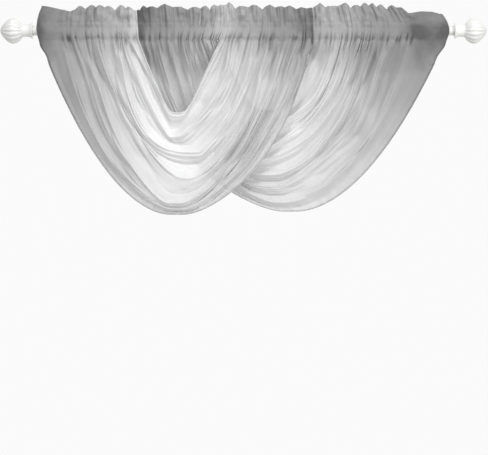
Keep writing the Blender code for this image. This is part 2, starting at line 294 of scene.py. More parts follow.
BACK_SWAG = Swag(
    name="back_voile_swag",
    left=Pocket(
        inner=PocketEnd(-0.0632, -0.0542, -0.0502),
        outer=PocketEnd(-0.2857, -0.2880, -0.2927),
        flat_from=9.0,
        dye_full=1.0,
        dye_power=2.0,
        dye_fade=0.13,
        dye_top=1.0,
        crowded=0.35,
        ruffles=(
            Ruffle(-0.051, 0.070, 0.0, 0.001),
            Ruffle(-0.060, 0.071, 0.002, 0.004),
            Ruffle(-0.082, 0.070, 0.012, 0.005),
            Ruffle(-0.104, 0.068, 0.005, 0.004),
            Ruffle(-0.133, 0.065, 0.008, 0.005),
            Ruffle(-0.172, 0.065, 0.004, 0.004),
            Ruffle(-0.215, 0.073, 0.006, 0.005),
            Ruffle(-0.254, 0.066, 0.004, 0.004),
            Ruffle(-0.273, 0.068, 0.006, 0.004),
            Ruffle(-0.292, 0.055, 0.0, 0.001),
        ),
    ),
    right=Pocket(
        inner=PocketEnd(0.1912, 0.1912, 0.1882),
        outer=PocketEnd(0.557, 0.564, 0.529),
        flat_from=6.15,
        dye_full=0.82,
        dye_power=1.6,
        dye_fade=0.45,
        dye_top=0.84,
        crowded=1.55,
        ruffles=(
            Ruffle(0.189, 0.060, 0.0, 0.001),
            Ruffle(0.213, 0.076, 0.006, 0.004),
            Ruffle(0.246, 0.067, 0.003, 0.005),
            Ruffle(0.290, 0.076, 0.010, 0.004),
            Ruffle(0.323, 0.071, 0.006, 0.005),
            Ruffle(0.348, 0.076, 0.005, 0.004),
            Ruffle(0.370, 0.074, 0.006, 0.005),
            Ruffle(0.395, 0.071, 0.012, 0.004),
            Ruffle(0.428, 0.070, 0.003, 0.005),
            Ruffle(0.456, 0.064, 0.0, 0.003),
            Ruffle(0.464, 0.048, 0.0, 0.0),
            Ruffle(0.505, 0.0535, 0.0, 0.0),
            Ruffle(0.536, 0.0525, 0.0, 0.0),
            Ruffle(0.556, 0.0460, 0.0, 0.0),
        ),
    ),
    folds=(
        Fold(-0.0632, 0.1912, 0.067, -0.218, 1.8, 0.0, 1.9, 0.1),
        Fold(-0.092, 0.246, 0.062, -0.265, 1.9, 0.0, 1.4, 0.5),
        Fold(-0.120, 0.282, 0.034, -0.328, 1.7, 0.0, 1.4, 0.4),
        Fold(-0.142, 0.312, 0.012, -0.358, 1.7, 0.1, 1.7, 0.5),
        Fold(-0.164, 0.348, 0.062, -0.397, 2.1, 0.3, 1.9, 0.3),
        Fold(-0.197, 0.386, 0.067, -0.427, 2.0, 0.3, 1.4, 0.4),
        Fold(-0.235, 0.452, 0.103, -0.468, 1.6, 0.4, 1.7, 0.3),
        Fold(-0.2857, 0.557, 0.128, -0.497, 1.6, 0.45, 2.0, 0.0),
    ),
    belly=0.014,
    white_x=0.109,
    seed=40,
)


def eased_out(value):
    """Rises from 0 to 1, quickly at first, and then stays there."""
    value = np.clip(value, 0.0, 1.0)
    return value * (2 - value)


def rounded_bump(at, middle, width):
    """A smooth bump of height 1 at its middle."""
    return np.exp(-(((at - middle) / width) ** 2))


def soft_noise(across, along, seed):
    """Smooth random heights between -1 and 1, with about one bump for each unit both ways."""
    knots = np.random.default_rng(seed).uniform(-1, 1, (NOISE_KNOTS, NOISE_KNOTS))
    across, along = np.broadcast_arrays(across, along)
    row, column = np.floor(across).astype(int), np.floor(along).astype(int)
    a, b = across - row, along - column
    a, b = a * a * (3 - 2 * a), b * b * (3 - 2 * b)
    corners = [
        knots[(row + i) % NOISE_KNOTS, (column + j) % NOISE_KNOTS] for i in (0, 1) for j in (0, 1)
    ]
    return (corners[0] * (1 - a) + corners[2] * a) * (1 - b) + (
        corners[1] * (1 - a) + corners[3] * a
    ) * b


def through_rows(values, at):
    """A smooth curve through equally spaced values, read at the positions in at."""
    values = np.concatenate(
        [[2 * values[0] - values[1]], values, [2 * values[-1] - values[-2]]]
    )
    start = np.clip(np.floor(at).astype(int), 0, len(values) - 4)
    part = at - start
    before, first, second, after = (values[start + step] for step in range(4))
    return first + 0.5 * part * (
        second - before
        + part * (2 * before - 5 * first + 4 * second - after
                  + part * (3 * (first - second) + after - before))
    )


def end_x(end, height):
    """Where the edge of a pocket is at a height: a parabola through its three given points."""
    above_seam = height - LOWER_SEAM
    below_top = HEADING_TOP - height
    whole = HEADING_TOP - LOWER_SEAM
    at_seam = height * below_top / (LOWER_SEAM * whole)
    at_rod = above_seam * below_top / (-LOWER_SEAM * HEADING_TOP)
    at_top = height * above_seam / (HEADING_TOP * whole)
    return end.seam_x * at_seam + end.rod_x * at_rod + end.top_x * at_top


def pocket_x(pocket, seam_x, height):
    """Where cloth that leaves the lower seam at seam_x is along the rod at another height."""
    part = (seam_x - pocket.inner.seam_x) / (pocket.outer.seam_x - pocket.inner.seam_x)
    return end_x(pocket.inner, height) * (1 - part) + end_x(pocket.outer, height) * part


def ruffle_shape(pocket, x):
    """The heading's top edge and its swell forward, at places along the rod."""
    rows = sorted(pocket.ruffles, key=lambda row: row.x)
    inner_first = pocket.outer.rod_x > pocket.inner.rod_x
    places = np.array([row.x for row in rows])
    index = np.clip(np.searchsorted(places, x) - 1, 0, len(rows) - 2)
    part = np.clip((x - places[index]) / (places[index + 1] - places[index]), 0, 1)
    tops = np.array([row.top for row in rows])
    swells = np.array([row.swell for row in rows])
    dips = np.array([row.dip for row in rows])
    dip = dips[index if inner_first else index + 1]
    valley = 2 * np.minimum(part, 1 - part)
    top = tops[index] * (1 - part) + tops[index + 1] * part - dip * valley**2
    swell = swells[index] * (1 - part) + swells[index + 1] * part
    return top, swell * np.cos(2 * np.pi * part)


def fall(across, power, steep, round_bottom):
    """Height above the lowest point, as a part of the whole drop, at a part of the half width."""
    rounded = (across**4 + round_bottom**4) ** 0.25
    gentle = (rounded**power - round_bottom**power) / (
        (1 + round_bottom**4) ** (power / 4) - round_bottom**power
    )
    return (1 - steep) * gentle + steep * across**STEEP_POWER


def fold_row(swag, places):
    """The columns of the fold table, read smoothly at places between its rows."""
    return Fold(*(through_rows(np.array(column), places) for column in zip(*swag.folds)))


def crest_curve(fold, steps, round_bottom):
    """The hanging line of one fold row, as evenly spaced x and z, with how far each point lies
    from the nearer end and how far along the line it is."""
    across = np.linspace(1, 0, CURVE_SAMPLES)
    left = fold.low_x + (fold.left_x - fold.low_x) * across
    right = fold.low_x + (fold.right_x - fold.low_x) * across
    left_rise = fall(across, fold.left_power, fold.left_steep, round_bottom)
    right_rise = fall(across, fold.right_power, fold.right_steep, round_bottom)
    drop = LOWER_SEAM - fold.low_z
    line = np.array(
        [
            np.concatenate([left, right[::-1][1:]]),
            fold.low_z + drop * np.concatenate([left_rise, right_rise[::-1][1:]]),
        ]
    )
    walked = np.concatenate([[0], np.cumsum(np.hypot(*np.diff(line, axis=1)))])
    at = walked[-1] * steps
    x, z = (np.interp(at, walked, axis) for axis in line)
    return x, z, np.minimum(at, walked[-1] - at), at - walked[-1] / 2


def gathers(places, along, seed):
    """The fine and the broad gathers by a seam: 0 in their sharp creases, near 1 on their backs."""
    sway = soft_noise(places * 1.3, along / 0.10, seed + 1)
    fine = np.abs(soft_noise(places * 5.4 + 0.5 * sway, along / 0.08, seed + 2))
    broad = np.abs(soft_noise(places * 2.1 + 0.3 * sway, along / 0.22, seed + 3))
    return fine, broad


def gathered_part(pocket, places):
    """1 where the cloth is gathered on the rod, and 0 where its outer end is left flat."""
    return 1 - eased_out((places - pocket.flat_from) / 0.35)


def fold_profile(places):
    """The wave across the folds: 1 on a crest, -1 in the valley below it, and a slack belly from
    there out to the next crest. Then the fine ridge and pinch on it, in metres."""
    part = places % 1.0
    under = np.cos(np.pi * np.minimum(part / FOLD_OVERHANG, 1))
    slack = -np.cos(np.pi * np.clip((part - FOLD_OVERHANG) / (1 - FOLD_OVERHANG), 0, 1))
    pinch = rounded_bump(part, FOLD_OVERHANG, PINCH_WIDTH)
    ridge = rounded_bump(np.minimum(part, 1 - part), 0, CREST_WIDTH)
    return np.where(part < FOLD_OVERHANG, under, slack), CREST_RIDGE * ridge - PINCH_DEPTH * pinch


def hanging_rows(swag, places, steps):
    """Points of the hanging cloth and their places on the flat cut, a row for each step from the
    left pocket to the right one."""
    rounds = ROUND_BOTTOM + COWL_ROUND * rounded_bump(places, 0, COWL_REACH)
    seams = fold_row(swag, places)
    rows = zip(*seams)
    curves = np.array([crest_curve(Fold(*row), steps, bend) for row, bend in zip(rows, rounds)])
    x, z, from_seam, along = curves.transpose(1, 2, 0)
    flat = np.stack([x, z], axis=-1)
    across = np.gradient(flat, places, axis=1)
    spacing = np.linalg.norm(across, axis=2)
    outward = across / np.maximum(spacing, 1e-9)[..., None]
    settled = eased_out(from_seam / FALL_LENGTH)
    place = places[None, :]
    step = steps[:, None]
    edge = np.clip(1.6 * np.minimum(place, places[-1] - place), 0, 1)

    symmetric = np.cos(2 * np.pi * place)
    hung, line = fold_profile(place)
    wave = symmetric + (hung - symmetric) * settled
    depth = np.minimum(FOLD_SWELL * spacing, FOLD_DEPTH_MOST)
    depth *= SEAM_SWELL + (1 - SEAM_SWELL) * settled
    depth *= 1 + FOLD_UNEVEN * soft_noise(place * 0.9, step * 5, swag.seed) * edge
    droop = DROOP_SHARE * spacing * (1 - wave) / 2 * np.maximum(0, -outward[..., 1]) * settled
    wander = FOLD_WANDER * soft_noise(place * 0.8, step * 7, swag.seed + 7) * settled * edge
    flap = rounded_bump(from_seam, *FLAP_OUT) - rounded_bump(from_seam, *FLAP_BACK)
    shift = wander - droop + CORNER_FLAP * flap * np.clip(place - places[-1] + 1.2, 0, 1) ** 2

    turned_right = np.clip((step - 0.38) / 0.24, 0, 1)
    loose, waver = np.zeros_like(x), np.zeros_like(x)
    inner = np.clip(0.3 + place / 0.8, 0, 1)
    for pocket, share, seed in (
        (swag.left, 1 - turned_right, swag.seed + 10),
        (swag.right, turned_right, swag.seed + 20),
    ):
        fine, broad = gathers(place, from_seam, seed)
        opened = eased_out(from_seam / GATHERS_OPEN) * inner
        height = SEAM_RIPPLE * (fine + broad)
        for wave_in, (tall, fade) in ((fine, FINE_GATHERS), (broad, BROAD_GATHERS)):
            height = height + opened * tall * wave_in * np.exp(-from_seam / fade)
        gathered = gathered_part(pocket, place)
        loose += share * gathered * height
        seam_x = seams.left_x if pocket is swag.left else seams.right_x
        wavy = soft_noise(seam_x / SEAM_WAVE_LENGTH, 0.5, seed + 9)
        off_end = np.clip(place / SEAM_STEADY, 0, 1)
        waver += share * gathered * off_end * np.exp(-from_seam / 0.012) * wavy
    inside = np.clip(4 * np.minimum(place, places[-1] - place), 0, 1)
    for count, reach, height in CREASES:
        crease = np.abs(soft_noise(place * count, along / reach, swag.seed + int(10 * count)))
        loose += height * (0.7 - crease) * settled * inside
    loose += COCKLES * soft_noise(place * 3.1, along / 0.045, swag.seed + 5) * settled
    loose += line * settled * edge
    tucked = np.clip((place - places[-1] + HEM_TUCK_WIDTH) / HEM_TUCK_WIDTH, 0, 1)
    loose -= HEM_TUCK * tucked**2 * settled
    by_hem = np.exp(-((places[-1] - place) * spacing / HEM_RIPPLE_WIDTH)) * settled
    loose += HEM_RIPPLE * by_hem * soft_noise(place * 2, along / HEM_RIPPLE_LENGTH, swag.seed + 8)

    points = np.empty(x.shape + (3,))
    points[..., 0] = x + shift * outward[..., 0]
    swung = np.clip(from_seam / (SWING_DROP * np.clip(0.4 + 0.6 * place, 0.4, 1)), 0, 1)
    swung = swung * swung * (3 - 2 * swung)
    points[..., 1] = -SEAM_GAP / 2 - SEAM_FORWARD + (swag.belly + SEAM_FORWARD) * swung
    points[..., 1] -= depth * wave * settled + loose
    points[..., 2] = z + shift * outward[..., 1] + SEAM_WAVER * waver
    half = along[-1]
    down = -FLAT_HEIGHT * (half - half[0]) / (half[-1] - half[0])
    fullness = np.exp(-from_seam / 0.055) + 0 * place
    down = np.broadcast_to(down, x.shape)
    return points, np.stack([along, down, np.zeros_like(x), fullness], axis=-1)


def pocket_rows(swag, pocket, places, side):
    """The heading and rod pocket of one side, as rows of points from the hem behind the rod, over
    the top of the heading, and down to the lower seam in front."""
    seed = swag.seed + (20 if side > 0 else 10)
    seams = fold_row(swag, places)
    seam_x = seams.right_x if side > 0 else seams.left_x
    gathered = gathered_part(pocket, places)
    top, swell = ruffle_shape(pocket, pocket_x(pocket, seam_x, UPPER_SEAM))
    top = top + TOP_RAGGED * gathered * soft_noise(seam_x / 0.006, 0.5, seed + 5)

    turns = np.radians(np.linspace(*POCKET_WRAP, 9))
    heights = [LOWER_SEAM, *(POCKET_RADIUS * np.cos(turns)), UPPER_SEAM]
    depths = [SEAM_GAP / 2, *(POCKET_RADIUS * np.sin(turns)), SEAM_GAP / 2]
    at = np.array([0, 0.3, 0.65, *range(1, 10), 9.35, 9.7, 10])
    read = (np.interp(at, range(11), values) for values in (heights, depths))
    wrapped = [(height, depth, 0.0) for height, depth in zip(*read)]
    headed = [(UPPER_SEAM, SEAM_GAP / 2, part) for part in HEADING_PARTS]

    wavy = soft_noise(seam_x / SEAM_WAVE_LENGTH, 0.5, seed + 9)
    torn = np.clip(0.35 + soft_noise(seam_x / 0.007, 0.5, seed + 4), 0, 1)

    def layer(facing):
        """The front layer (1) or the one behind the rod (-1), from the lower seam up."""
        rows = []
        leaves, bend = FRONT_LEAVES_ROD, FRONT_BEND
        if facing < 0:
            leaves, bend = POCKET_RADIUS * math.cos(turns[0]), 1.0
        for height, depth, part in wrapped + headed:
            height = height + (top - TOP_TURN - height) * part
            fine, broad = gathers(places, LOWER_SEAM - height, seed)
            off_seam = min(abs(float(np.mean(height)) - at) for at in (LOWER_SEAM, UPPER_SEAM))
            pinch = np.exp(-off_seam / STITCH_HOLD)
            around = depth / POCKET_RADIUS
            puff = gathered * (FINE_PUFF * fine + BROAD_PUFF * broad)
            rumple = soft_noise(seam_x / 0.015, height / 0.020, seed + 6)
            crumple = np.abs(soft_noise(seam_x / 0.0075, height / 0.010, seed + 7))
            ripple = gathered * SEAM_RIPPLE * (fine + broad)
            outward = depth + puff * (1 - pinch) * (0.25 + 0.75 * (1 - around)) * (part == 0)
            opening = HEADING_OPEN * math.sin(math.pi * min(part, 0.9)) * (1 + 0.5 * rumple)
            forward = ripple * (1 - around) + part * swell + gathered * part * HEADING_PLEATS * fine
            worked = (HEADING_RUMPLE * rumple + HEADING_CRUMPLE * crumple) * gathered
            forward = forward + worked * math.sin(math.pi * part)
            low = np.exp(-np.abs(height - LOWER_SEAM) / 0.010) * np.clip(places / SEAM_STEADY, 0, 1)
            height = height + SEAM_WAVER * gathered * low * wavy
            if facing < 0:
                height = height - SEAM_RAGGED * gathered * low**2 * torn
            hung = SEAM_FORWARD * np.clip((leaves - height) / (leaves - LOWER_SEAM), 0, 1) ** bend
            upright = np.clip((height - HEADING_LEANS) / (UPPER_SEAM - HEADING_LEANS), 0, 1)
            leant = HEADING_FORWARD * upright * (1 - 0.8 * part)
            outward = -facing * (outward + opening) - forward - hung - leant
            rows.append((height + 0 * seam_x, outward))
        return rows

    front, behind = layer(1), layer(-1)
    pleats = HEADING_PLEATS * gathers(places, LOWER_SEAM - top, seed)[0]
    crown = (top, -0.2 * HEADING_FORWARD - swell - gathered * pleats)
    folded = behind + [crown] + front[::-1]
    points = np.empty((len(folded), len(places), 3))
    for number, (height, depth) in enumerate(folded):
        points[number, :, 0] = pocket_x(pocket, seam_x, np.minimum(height, HEADING_TOP))
        points[number, :, 1] = depth
        points[number, :, 2] = height
    return points


def dye_and_painted_shade(swag, points, places):
    """How deep the cloth's grey dye is: 0 in the white middle, and 1 at a pocket's outer end.
    Painted shade is added to it: in the pucker creases along the lower seam, in the gathers below
    it, and on the lower folds towards the hem."""
    out = points[..., 0] - swag.white_x
    below = np.maximum(0, -points[..., 2])
    drop = np.maximum(0, LOWER_SEAM - points[..., 2])
    depths = []
    for pocket in (swag.left, swag.right):
        share = np.clip(out / (pocket.outer.seam_x - swag.white_x) / pocket.dye_full, 0, 1)
        shown = 1 - (1 - pocket.dye_top) * np.clip((points[..., 2] - 0.006) / 0.02, 0, 1)
        depths.append(shown * share**pocket.dye_power * np.exp(-below / pocket.dye_fade))
    depth = np.maximum(*depths)
    # Painted shade on the lower folds of the pale cloth, darker towards the hem.
    low = np.clip((places - 2.2) / 2.2, 0, 1)
    half = len(points) // 2
    crowded = np.full(points.shape[:2], swag.left.crowded)
    crowded[half:] = swag.right.crowded
    gather_shade_share = crowded + (1 - crowded) * np.clip(places, 0, 1)
    # Painted shade in the gathers below the lower seam, fading with the drop.
    gather_shade_and_blotches = GATHER_PAINTED_SHADE * gather_shade_share * np.exp(-drop / GATHER_SHADE_DROP)
    blotch = soft_noise(points[..., 0] / 0.009, points[..., 2] / 0.010, swag.seed + 3)
    gather_shade_and_blotches += BLOTCHES * blotch * np.clip((points[..., 2] - 0.010) / 0.012, 0, 1)
    pale = np.clip(1 - depth, 0, 1)
    depth += gather_shade_and_blotches * pale**1.5 + HEM_PAINTED_SHADE * low * pale**3
    sides = ((swag.left, slice(0, half), 10), (swag.right, slice(half, None), 20))
    for pocket, rows, seed in sides:
        off_seam = points[rows, :, 2] - LOWER_SEAM
        lift = 0.007 * soft_noise(points[rows, :, 0] / 0.010, 0.5, swag.seed + seed + 8)
        # Painted shade in the creases of the puckers, in a band along the lower seam.
        pucker_shade = rounded_bump(off_seam - 0.002 - lift, 0, PUCKER_SHADE_HEIGHT)
        pucker_shade = gathered_part(pocket, places) * pucker_shade
        fine, broad = gathers(places[None, :], off_seam, swag.seed + seed)
        depth[rows] += PUCKER_PAINTED_SHADE * pucker_shade * np.clip(1 - 3.2 * fine, 0, 1)
    return depth


def swag_rows(swag, places):
    """All the points of a swag and their places on the flat cut, with the rows of its seams."""
    steps = np.linspace(0, 1, SWAG_STEPS + 1)
    steps -= STEP_SHIFT * np.sin(4 * np.pi * steps) / (4 * np.pi)
    hanging, cut = hanging_rows(swag, places, steps)
    parts, cuts = [hanging[1:-1]], [cut[1:-1]]
    half = cut[-1, :, 0]
    slant = np.array([half[-1] - half[0], -FLAT_HEIGHT])
    off = np.array([-slant[1], slant[0]]) / np.linalg.norm(slant)
    for side in (-1, 1):
        rows = pocket_rows(swag, swag.left if side < 0 else swag.right, places, side)
        walked = np.linalg.norm(np.diff(rows, axis=0), axis=2).mean(axis=1)
        beyond = np.concatenate([[0], np.cumsum(walked[::-1])])[::-1]
        flat = np.zeros(rows.shape[:2] + (4,))
        flat[..., 0] = side * (half + beyond[:, None] * off[0])
        flat[..., 1] = cut[0, :, 1] + beyond[:, None] * off[1]
        flat[..., 3] = 1.0
        if side < 0:
            parts.insert(0, rows), cuts.insert(0, flat)
        else:
            parts.append(rows[::-1]), cuts.append(flat[::-1])
    last = len(rows) - 1
    seam_rows = [0, UPPER_SEAM_ROW, last - UPPER_SEAM_ROW, last]
    points, cut = np.concatenate(parts), np.concatenate(cuts)
    seam_rows += [len(points) - 1 - row for row in seam_rows]
    # The dye's depth, with painted shade added, goes in the cut's third value.
    cut[..., 2] = dye_and_painted_shade(swag, points, places)
    return points, cut, seam_rows


def keep_cut(mesh, cut):
    """Stores each point's place on the flat cut, its depth of dye with painted shade added, and its
    fullness on a mesh.
    """
    flat = mesh.attributes.new("cloth_flat", "FLOAT_VECTOR", "POINT")
    flat.data.foreach_set("vector", cut[..., :3].astype(np.float32).ravel())
    full = mesh.attributes.new("fullness", "FLOAT", "POINT")
    full.data.foreach_set("value", cut[..., 3].astype(np.float32).ravel())


def mesh_object(name, points, faces, cut):
    """A smooth mesh of cloth with its places on the flat cut."""
    mesh = bpy.data.meshes.new(name)
    mesh.from_pydata(points.tolist(), [], faces.tolist())
    keep_cut(mesh, cut)
    mesh.shade_smooth()
    return placed(name, mesh)


def cloth_sheet(name, points, cut):
    """A grid of points as one sheet whose face side is the right side of the cloth."""
    rows, columns = points.shape[:2]
    index = np.arange(rows * columns).reshape(rows, columns)
    corners = (index[:-1, :-1], index[:-1, 1:], index[1:, 1:], index[1:, :-1])
    faces = np.stack(corners, axis=-1).reshape(-1, 4)
    return mesh_object(name, points.reshape(-1, 3), faces, cut.reshape(-1, 4))


HEM_WIDTH = 0.0060
HEM_THICKNESS = 0.0010
# Across a rolled hem: the share of its width, and of its thickness there.
HEM_ROLL = ((0.0, 0.62), (0.25, 1.0), (0.5, 0.95), (0.75, 0.85), (1.0, 0.6))


def in_from_edge(rows, outermost, distances):
    """The rows of a sheet, read at distances in from their first or their last column."""
    rows = rows[:, ::-1] if outermost else rows
    walked = np.cumsum(np.linalg.norm(np.diff(rows[..., :3], axis=1), axis=2), axis=1)
    walked = np.concatenate([np.zeros((len(rows), 1)), walked], axis=1)
    return np.array(
        [[[np.interp(far, walk, row[:, axis]) for axis in range(row.shape[1])] for far in distances]
         for walk, row in zip(walked, rows)]
    )


def hem_band(name, rows, outermost):
    """A narrow hem, rolled over the first or the last column of a sheet, as a closed band."""
    across, thick = np.array(HEM_ROLL).T
    read = in_from_edge(rows, outermost, HEM_WIDTH * across)
    middle, places = read[..., :3], read[..., 3:]
    along = np.gradient(middle, axis=0)
    inward = np.gradient(middle, axis=1)
    normal = np.cross(along, inward)
    normal /= np.maximum(np.linalg.norm(normal, axis=2), 1e-12)[..., None]
    rolled = thick[None, :, None] * HEM_THICKNESS / 2
    lip = middle[:, :1] - 0.2 * HEM_THICKNESS * inward[:, :1] / np.linalg.norm(
        inward[:, :1], axis=2
    )[..., None]
    ring = np.concatenate(
        [lip, middle + normal * rolled, (middle - normal * rolled)[:, ::-1]], axis=1
    )
    flat_ring = np.concatenate([places[:, :1], places, places[:, ::-1]], axis=1)
    count, around = ring.shape[:2]
    index = np.arange(count * around).reshape(count, around)
    beside = np.roll(index, -1, axis=1)
    faces = np.stack([index[:-1], beside[:-1], beside[1:], index[1:]], axis=-1).reshape(-1, 4)
    obj = mesh_object(name, ring.reshape(-1, 3), faces, flat_ring.reshape(-1, 4))
    band = bmesh.new()
    band.from_mesh(obj.data)
    band.verts.ensure_lookup_table()
    for end in (index[0], index[-1]):
        band.faces.new([band.verts[i] for i in end])
    bmesh.ops.recalc_face_normals(band, faces=band.faces)
    band.to_mesh(obj.data)
    band.free()
    obj.data.shade_smooth()
    return obj


# The depth of the grey dye with its painted shade, and the brightness of the cloth there.
OMBRE = (
    (0.00, 0.675), (0.05, 0.61), (0.10, 0.55), (0.20, 0.46), (0.30, 0.39), (0.39, 0.34),
    (0.49, 0.285), (0.59, 0.245), (0.69, 0.22), (0.78, 0.20), (0.88, 0.15), (0.98, 0.08),
)
OMBRE_BLUE = 1.003
# The slubs of the two sets of yarns, the yarns themselves, how much the slubs tint the cloth, and
# how much light comes through it and between its yarns where it is flat and where it is gathered.
SLUBS_ACROSS, SLUBS_ALONG = (26.0, 900.0, 0.0), (900.0, 26.0, 0.0)
YARN_SCALE = 480.0
SLUB_TINT = 0.16
SLUB_RANGE = (0.1, 0.45)
LIT_THROUGH = (0.09, 0.08)
OPEN_WHEN_GATHERED = 0.20


def voile(name, clear, shine=0.25):
    """Plain-woven voile: grey from its place on the cut, where painted shade is added to the dye,
    with slubs that let more or less through.
    clear is how much is seen straight through it, and shine is its sheen."""
    material, tree, shader = new_material(name)
    link = tree.links.new
    place = tree.nodes.new("ShaderNodeAttribute")
    place.attribute_name = "cloth_flat"
    place = place.outputs["Vector"]
    apart = new_node(tree, "ShaderNodeSeparateXYZ", Vector=place)

    cut = new_node(tree, "ShaderNodeMapping", Scale=(1.0, 1.0, 0.0), Vector=place)
    cut = cut.outputs["Vector"]
    uneven = new_node(tree, "ShaderNodeTexNoise", Scale=18.0, Detail=4.0, Vector=cut)
    wander = new_node(
        tree, "ShaderNodeMapRange", To_Min=0.80, To_Max=1.20, Value=uneven.outputs["Fac"]
    )
    # The cut's third value is the dye's depth with painted shade added; the ramp turns it into
    # colour.
    reach = combined(tree, "MULTIPLY", apart.outputs["Z"], wander.outputs["Result"])
    dye = new_node(tree, "ShaderNodeValToRGB", Fac=reach)
    while len(dye.color_ramp.elements) > 1:
        dye.color_ramp.elements.remove(dye.color_ramp.elements[-1])
    for number, (at, value) in enumerate(OMBRE):
        stop = dye.color_ramp.elements[0] if not number else dye.color_ramp.elements.new(at)
        stop.position = at
        stop.color = (value, value, value * OMBRE_BLUE, 1.0)

    slubs = []
    for scale in (SLUBS_ACROSS, SLUBS_ALONG):
        stretch = new_node(tree, "ShaderNodeMapping", Scale=scale, Vector=place)
        yarn = new_node(
            tree, "ShaderNodeTexNoise", Scale=1.0, Detail=2.0, Vector=stretch.outputs["Vector"]
        )
        slubs.append(yarn.outputs["Fac"])
    slub = combined(tree, "MULTIPLY", *slubs)

    threads = []
    for direction in ("X", "Y"):
        thread = new_node(
            tree, "ShaderNodeTexWave", Scale=YARN_SCALE, Distortion=0.6, Detail=1.0, Vector=cut
        )
        thread.bands_direction = direction
        threads.append(thread.outputs["Fac"])
    weave = combined(tree, "MAXIMUM", *threads)
    raised = combined(tree, "ADD", weave, slub)
    bump = new_node(tree, "ShaderNodeBump", Strength=0.25, Distance=0.0002, Height=raised)

    thin_yarn, thick_yarn = SLUB_RANGE
    tone = new_node(
        tree, "ShaderNodeMapRange", From_Min=thin_yarn, From_Max=thick_yarn,
        To_Min=0.75, To_Max=1.15, Value=slub,
    ).outputs["Result"]
    grey = new_node(tree, "ShaderNodeCombineColor", Red=tone, Green=tone, Blue=tone)
    tint = tree.nodes.new("ShaderNodeMix")
    tint.data_type = "RGBA"
    tint.blend_type = "MULTIPLY"
    tint.inputs["Factor"].default_value = SLUB_TINT
    link(dye.outputs["Color"], tint.inputs["A"])
    link(grey.outputs["Color"], tint.inputs["B"])
    link(tint.outputs["Result"], shader.inputs["Base Color"])
    rough = new_node(tree, "ShaderNodeMapRange", To_Min=0.92, To_Max=0.70, Value=weave)
    link(rough.outputs["Result"], shader.inputs["Roughness"])
    link(bump.outputs["Normal"], shader.inputs["Normal"])
    shader.inputs["Sheen Weight"].default_value = shine
    shader.inputs["Sheen Roughness"].default_value = 0.45
    shader.inputs["Specular IOR Level"].default_value = 0.25

    glow = new_node(
        tree, "ShaderNodeBsdfTranslucent",
        Color=tint.outputs["Result"], Normal=bump.outputs["Normal"],
    )
    full = tree.nodes.new("ShaderNodeAttribute")
    full.attribute_name = "fullness"
    full = full.outputs["Fac"]
    flat_lit, full_lit = LIT_THROUGH
    lit_through = new_node(
        tree, "ShaderNodeMapRange", To_Min=flat_lit, To_Max=full_lit, Value=full
    )
    thin = new_node(tree, "ShaderNodeMixShader", Fac=lit_through.outputs["Result"])
    link(shader.outputs["BSDF"], thin.inputs[1])
    link(glow.outputs["BSDF"], thin.inputs[2])
    open_weave = tree.nodes.new("ShaderNodeBsdfTransparent")
    holes = new_node(
        tree, "ShaderNodeMapRange", From_Min=thin_yarn, From_Max=thick_yarn,
        To_Min=clear * 1.3, To_Max=clear * 0.7, Value=slub,
    )
    close = new_node(
        tree, "ShaderNodeMapRange", To_Min=1.0, To_Max=OPEN_WHEN_GATHERED, Value=full
    )
    left_open = combined(tree, "MULTIPLY", holes.outputs["Result"], close.outputs["Result"])
    sheer = new_node(tree, "ShaderNodeMixShader", Fac=left_open)
    link(thin.outputs["Shader"], sheer.inputs[1])
    link(open_weave.outputs["BSDF"], sheer.inputs[2])
    link(sheer.outputs["Shader"], tree.nodes["Material Output"].inputs["Surface"])
    return material


STITCH_LENGTH = 0.0022
STITCH_WIDTH = 0.00045
STITCH_PITCH = 0.0032
STITCHES_IN = 0.8 * HEM_WIDTH


